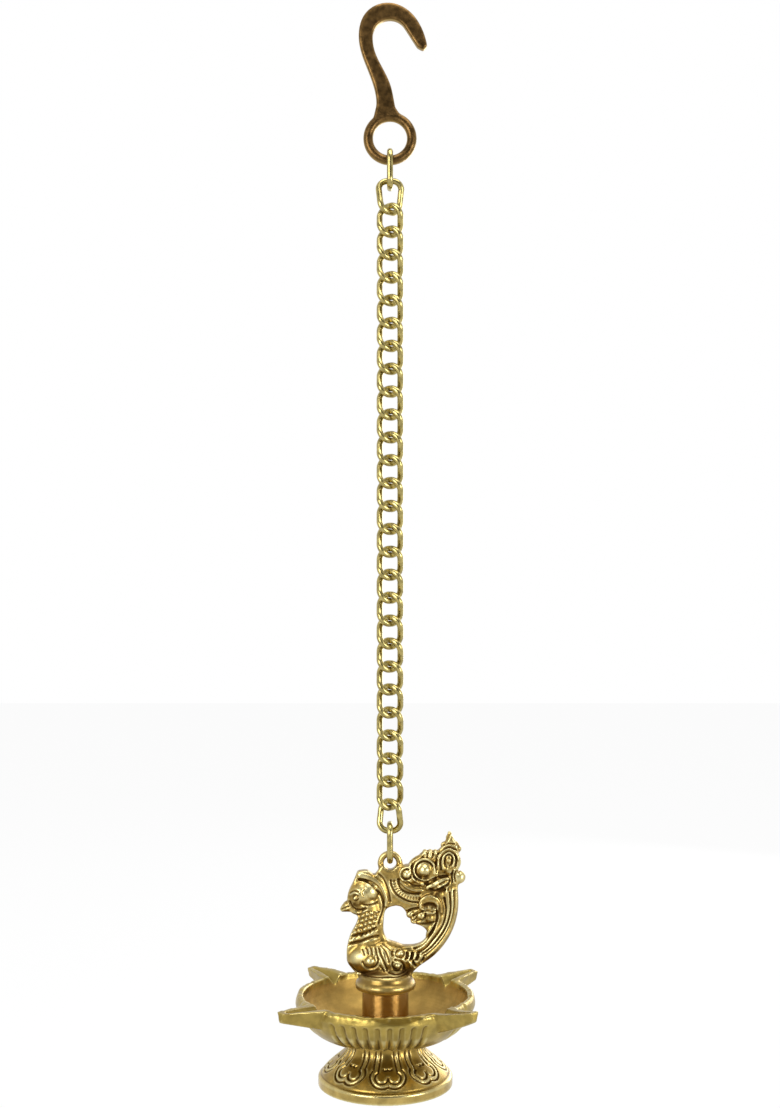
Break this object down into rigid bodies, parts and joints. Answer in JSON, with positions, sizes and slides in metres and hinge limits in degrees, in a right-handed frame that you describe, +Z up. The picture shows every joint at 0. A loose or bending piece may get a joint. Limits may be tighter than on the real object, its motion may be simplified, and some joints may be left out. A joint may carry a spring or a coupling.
{
  "type": "hanging chain oil lamp",
  "caption": "Brass oil lamp that hangs on a curb chain: a flat cast hook, a peacock figure on a post, an open bowl with wick spouts and a pedestal foot.",
  "frame": {"origin": "centre of the hook's throat, where the lamp is hung", "axes": "+Z up along the hanging chain, -Y towards the front view, with the peacock facing -X"},
  "size_m": [0.106, 0.106, 0.5615],
  "materials": {
    "antique_brass_hook": "cast, dark antique brown with bright rubbed edges",
    "chain_brass": "drawn wire, polished",
    "cast_brass_figure": "cast and chased, dark patina in the recesses",
    "turned_brass_post": "turned and polished",
    "cast_brass_bowl": "sand cast, satin, with a turned hollow",
    "polished_brass_foot": "cast with chased petals, polished rim",
    "zinc_steel": "zinc plated"
  },
  "bodies": {
    "hook": {"hook": "antique_brass_hook"},
    "top_link": {"top_link": "chain_brass"},
    "link_01": {"link_01": "chain_brass"},
    "link_02": {"link_02": "chain_brass"},
    "link_03": {"link_03": "chain_brass"},
    "link_04": {"link_04": "chain_brass"},
    "link_05": {"link_05": "chain_brass"},
    "link_06": {"link_06": "chain_brass"},
    "link_07": {"link_07": "chain_brass"},
    "link_08": {"link_08": "chain_brass"},
    "link_09": {"link_09": "chain_brass"},
    "link_10": {"link_10": "chain_brass"},
    "link_11": {"link_11": "chain_brass"},
    "link_12": {"link_12": "chain_brass"},
    "link_13": {"link_13": "chain_brass"},
    "link_14": {"link_14": "chain_brass"},
    "link_15": {"link_15": "chain_brass"},
    "link_16": {"link_16": "chain_brass"},
    "link_17": {"link_17": "chain_brass"},
    "link_18": {"link_18": "chain_brass"},
    "link_19": {"link_19": "chain_brass"},
    "link_20": {"link_20": "chain_brass"},
    "link_21": {"link_21": "chain_brass"},
    "link_22": {"link_22": "chain_brass"},
    "link_23": {"link_23": "chain_brass"},
    "link_24": {"link_24": "chain_brass"},
    "link_25": {"link_25": "chain_brass"},
    "link_26": {"link_26": "chain_brass"},
    "link_27": {"link_27": "chain_brass"},
    "link_28": {"link_28": "chain_brass"},
    "bottom_link": {"bottom_link": "chain_brass"},
    "lamp": {"peacock": "cast_brass_figure", "post": "turned_brass_post", "bowl": "cast_brass_bowl", "foot": "polished_brass_foot", "tie_stud": "zinc_steel", "washer": "zinc_steel", "nut": "zinc_steel"}
  },
  "joints": [
    {"name": "top_link_swing", "type": "hinge", "parent": "hook", "child": "top_link", "pos_m": [0, 0, -0.06005], "axis": [0, 1, 0], "range_deg": [-45, 45]},
    {"name": "link_28_swing", "type": "hinge", "parent": "top_link", "child": "link_28", "pos_m": [0, 0, -0.0753], "axis": [1, 0, 0], "range_deg": [-45, 45]},
    {"name": "link_27_swing", "type": "hinge", "parent": "link_28", "child": "link_27", "pos_m": [0, 0, -0.0916], "axis": [-0.7071, -0.7071, 0], "range_deg": [-40, 40]},
    {"name": "link_26_swing", "type": "hinge", "parent": "link_27", "child": "link_26", "pos_m": [0, 0, -0.10017], "axis": [0.7071, -0.7071, 0], "range_deg": [-40, 40]},
    {"name": "link_25_swing", "type": "hinge", "parent": "link_26", "child": "link_25", "pos_m": [0, 0, -0.11544], "axis": [-0.7071, -0.7071, 0], "range_deg": [-40, 40]},
    {"name": "link_24_swing", "type": "hinge", "parent": "link_25", "child": "link_24", "pos_m": [0, 0, -0.12401], "axis": [-0.7071, 0.7071, 0], "range_deg": [-40, 40]},
    {"name": "link_23_swing", "type": "hinge", "parent": "link_24", "child": "link_23", "pos_m": [0, 0, -0.13928], "axis": [0.7071, 0.7071, 0], "range_deg": [-40, 40]},
    {"name": "link_22_swing", "type": "hinge", "parent": "link_23", "child": "link_22", "pos_m": [0, 0, -0.14785], "axis": [-0.7071, 0.7071, 0], "range_deg": [-40, 40]},
    {"name": "link_21_swing", "type": "hinge", "parent": "link_22", "child": "link_21", "pos_m": [0, 0, -0.16312], "axis": [-0.7071, -0.7071, 0], "range_deg": [-40, 40]},
    {"name": "link_20_swing", "type": "hinge", "parent": "link_21", "child": "link_20", "pos_m": [0, 0, -0.17169], "axis": [0.7071, -0.7071, 0], "range_deg": [-40, 40]},
    {"name": "link_19_swing", "type": "hinge", "parent": "link_20", "child": "link_19", "pos_m": [0, 0, -0.18696], "axis": [0.7071, 0.7071, 0], "range_deg": [-40, 40]},
    {"name": "link_18_swing", "type": "hinge", "parent": "link_19", "child": "link_18", "pos_m": [0, 0, -0.19553], "axis": [0.7071, -0.7071, 0], "range_deg": [-40, 40]},
    {"name": "link_17_swing", "type": "hinge", "parent": "link_18", "child": "link_17", "pos_m": [0, 0, -0.2108], "axis": [-0.7071, -0.7071, 0], "range_deg": [-40, 40]},
    {"name": "link_16_swing", "type": "hinge", "parent": "link_17", "child": "link_16", "pos_m": [0, 0, -0.21937], "axis": [-0.7071, 0.7071, 0], "range_deg": [-40, 40]},
    {"name": "link_15_swing", "type": "hinge", "parent": "link_16", "child": "link_15", "pos_m": [0, 0, -0.23464], "axis": [0.7071, 0.7071, 0], "range_deg": [-40, 40]},
    {"name": "link_14_swing", "type": "hinge", "parent": "link_15", "child": "link_14", "pos_m": [0, 0, -0.24321], "axis": [-0.7071, 0.7071, 0], "range_deg": [-40, 40]},
    {"name": "link_13_swing", "type": "hinge", "parent": "link_14", "child": "link_13", "pos_m": [0, 0, -0.25848], "axis": [-0.7071, -0.7071, 0], "range_deg": [-40, 40]},
    {"name": "link_12_swing", "type": "hinge", "parent": "link_13", "child": "link_12", "pos_m": [0, 0, -0.26705], "axis": [0.7071, -0.7071, 0], "range_deg": [-40, 40]},
    {"name": "link_11_swing", "type": "hinge", "parent": "link_12", "child": "link_11", "pos_m": [0, 0, -0.28232], "axis": [0.7071, 0.7071, 0], "range_deg": [-40, 40]},
    {"name": "link_10_swing", "type": "hinge", "parent": "link_11", "child": "link_10", "pos_m": [0, 0, -0.29089], "axis": [0.7071, -0.7071, 0], "range_deg": [-40, 40]},
    {"name": "link_09_swing", "type": "hinge", "parent": "link_10", "child": "link_09", "pos_m": [0, 0, -0.30616], "axis": [-0.7071, -0.7071, 0], "range_deg": [-40, 40]},
    {"name": "link_08_swing", "type": "hinge", "parent": "link_09", "child": "link_08", "pos_m": [0, 0, -0.31473], "axis": [-0.7071, 0.7071, 0], "range_deg": [-40, 40]},
    {"name": "link_07_swing", "type": "hinge", "parent": "link_08", "child": "link_07", "pos_m": [0, 0, -0.33], "axis": [0.7071, 0.7071, 0], "range_deg": [-40, 40]},
    {"name": "link_06_swing", "type": "hinge", "parent": "link_07", "child": "link_06", "pos_m": [0, 0, -0.33857], "axis": [-0.7071, 0.7071, 0], "range_deg": [-40, 40]},
    {"name": "link_05_swing", "type": "hinge", "parent": "link_06", "child": "link_05", "pos_m": [0, 0, -0.35384], "axis": [-0.7071, -0.7071, 0], "range_deg": [-40, 40]},
    {"name": "link_04_swing", "type": "hinge", "parent": "link_05", "child": "link_04", "pos_m": [0, 0, -0.36241], "axis": [0.7071, -0.7071, 0], "range_deg": [-40, 40]},
    {"name": "link_03_swing", "type": "hinge", "parent": "link_04", "child": "link_03", "pos_m": [0, 0, -0.37768], "axis": [0.7071, 0.7071, 0], "range_deg": [-40, 40]},
    {"name": "link_02_swing", "type": "hinge", "parent": "link_03", "child": "link_02", "pos_m": [0, 0, -0.38625], "axis": [0.7071, -0.7071, 0], "range_deg": [-40, 40]},
    {"name": "link_01_swing", "type": "hinge", "parent": "link_02", "child": "link_01", "pos_m": [0, 0, -0.40152], "axis": [-0.7071, -0.7071, 0], "range_deg": [-40, 40]},
    {"name": "bottom_link_swing", "type": "hinge", "parent": "link_01", "child": "bottom_link", "pos_m": [0, 0, -0.41344], "axis": [-1, 0, 0], "range_deg": [-40, 40]},
    {"name": "lamp_swing", "type": "hinge", "parent": "bottom_link", "child": "lamp", "pos_m": [0, 0, -0.42869], "axis": [0, 1, 0], "range_deg": [-35, 35]}
  ]
}
